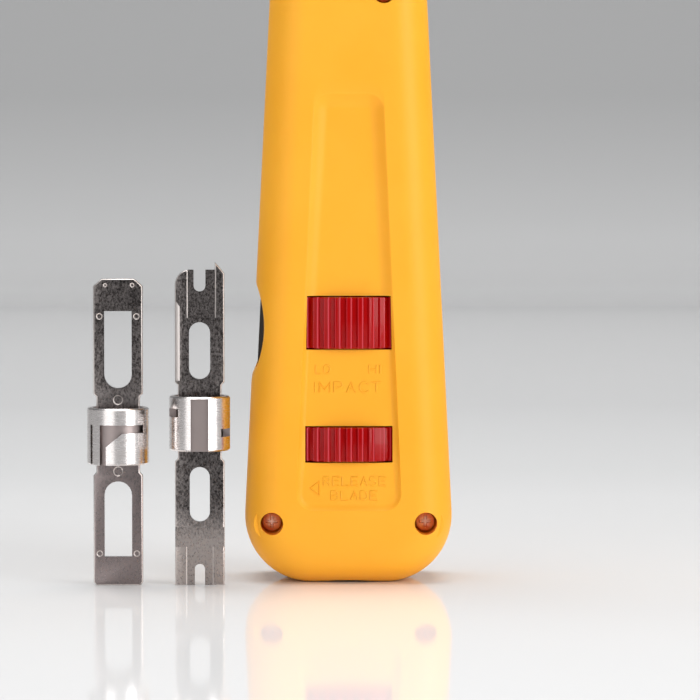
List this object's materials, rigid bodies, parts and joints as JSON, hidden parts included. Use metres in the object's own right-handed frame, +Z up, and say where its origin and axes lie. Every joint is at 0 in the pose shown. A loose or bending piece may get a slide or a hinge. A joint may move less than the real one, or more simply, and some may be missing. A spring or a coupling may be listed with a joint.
{
  "type": "punch down tool",
  "caption": "Impact punch down tool with a tapered two-shell handle, two fluted thumb wheels, a side tray for a spare blade, and two double-ended twist-lock blades standing beside it.",
  "frame": {"origin": "middle of the footprint of the whole set at its lowest level: the tool stands on its blade end, the two blades stand to its left", "axes": "+Z up from the blade end to the palm end, -Y towards the front panel with the wheels' lettering, +X to the right seen from the front"},
  "size_m": [0.0692, 0.0352, 0.172],
  "materials": {
    "yellow_plastic": "warm amber yellow moulded plastic, fine satin texture, soft gloss",
    "red_plastic": "deep red moulded plastic, glossy, paler worn ridges",
    "black_plastic": "black moulded plastic, satin",
    "black_rubber": "matt black rubber",
    "tool_steel": "turned steel",
    "dark_steel": "hardened and blackened steel",
    "spring_steel": "bright drawn spring wire",
    "screw_steel": "zinc plated screw, warm from the yellow around it",
    "blade_steel": "tumbled nickel plated steel, finely speckled",
    "collar_steel": "satin nickel plated steel"
  },
  "bodies": {
    "handle": {"front_shell": "yellow_plastic", "rear_shell": "yellow_plastic", "guide_tube": "dark_steel", "spring_seat": "black_plastic", "nose_bushing": "tool_steel", "nose_buffer": "black_rubber", "detent_ball": "spring_steel", "detent_spring": "spring_steel", "release_spring": "spring_steel", "main_spring": "spring_steel", "screw_lower_left": "screw_steel", "screw_lower_right": "screw_steel", "screw_middle": "screw_steel", "screw_palm": "screw_steel", "tray_pin_front": "spring_steel", "tray_pin_rear": "spring_steel"},
    "impact_dial": {"impact_wheel": "red_plastic", "trip_cam_ring": "dark_steel"},
    "release_dial": {"release_wheel": "red_plastic"},
    "plunger": {"blade_holder": "tool_steel"},
    "lock": {"lock_sleeve": "dark_steel", "lock_pin_left": "spring_steel", "lock_pin_right": "spring_steel"},
    "striker": {"hammer": "tool_steel", "trip_spring": "spring_steel"},
    "trip": {"trip_plate": "dark_steel"},
    "tray": {"storage_tray": "black_plastic"},
    "blade_66": {"blade_66_plate": "blade_steel", "blade_66_collar": "collar_steel"},
    "blade_110": {"blade_110_plate": "blade_steel", "blade_110_collar": "collar_steel"}
  },
  "joints": [
    {"name": "impact_wheel_turn", "type": "hinge", "parent": "handle", "child": "impact_dial", "pos_m": [0.01487, 0.00227, 0.04955], "axis": [0, 0, 1], "range_deg": [0, 60]},
    {"name": "release_wheel_turn", "type": "hinge", "parent": "handle", "child": "release_dial", "pos_m": [0.01487, 0.00227, 0.02655], "axis": [0, 0, -1], "range_deg": [0, 30], "stiffness_Nm_per_rad": 0.02},
    {"name": "plunger_slide", "type": "slide", "parent": "handle", "child": "plunger", "axis": [0, 0, 1], "range_m": [0, 0.011], "stiffness_N_per_m": 1500, "springref_m": -0.003},
    {"name": "blade_lock_turn", "type": "hinge", "parent": "plunger", "child": "lock", "pos_m": [0.01487, 0.00227, 0.0095], "axis": [0, 0, -1], "range_deg": [0, 30]},
    {"name": "hammer_slide", "type": "slide", "parent": "handle", "child": "striker", "axis": [0, 0, 1], "range_m": [0, 0.011], "deforming": ["main_spring"]},
    {"name": "trip_plate_slide", "type": "slide", "parent": "striker", "child": "trip", "axis": [1, 0, 0], "range_m": [0, 0.0009], "stiffness_N_per_m": 200, "deforming": ["trip_spring"]},
    {"name": "storage_tray_swing", "type": "hinge", "parent": "handle", "child": "tray", "pos_m": [0.00666, 0.00227, 0.156], "axis": [0, 1, 0], "range_deg": [0, 40]},
    {"name": "blade_66_lift", "type": "slide", "parent": "handle", "child": "blade_66", "axis": [0, 0, 1], "range_m": [0, 0.08]},
    {"name": "blade_110_lift", "type": "slide", "parent": "handle", "child": "blade_110", "axis": [0, 0, 1], "range_m": [0, 0.08]}
  ],
  "couplings": [
    {"joint": "blade_lock_turn", "follows": "release_wheel_turn", "ratio": 1},
    {"joint": "hammer_slide", "follows": "plunger_slide", "ratio": 1}
  ]
}
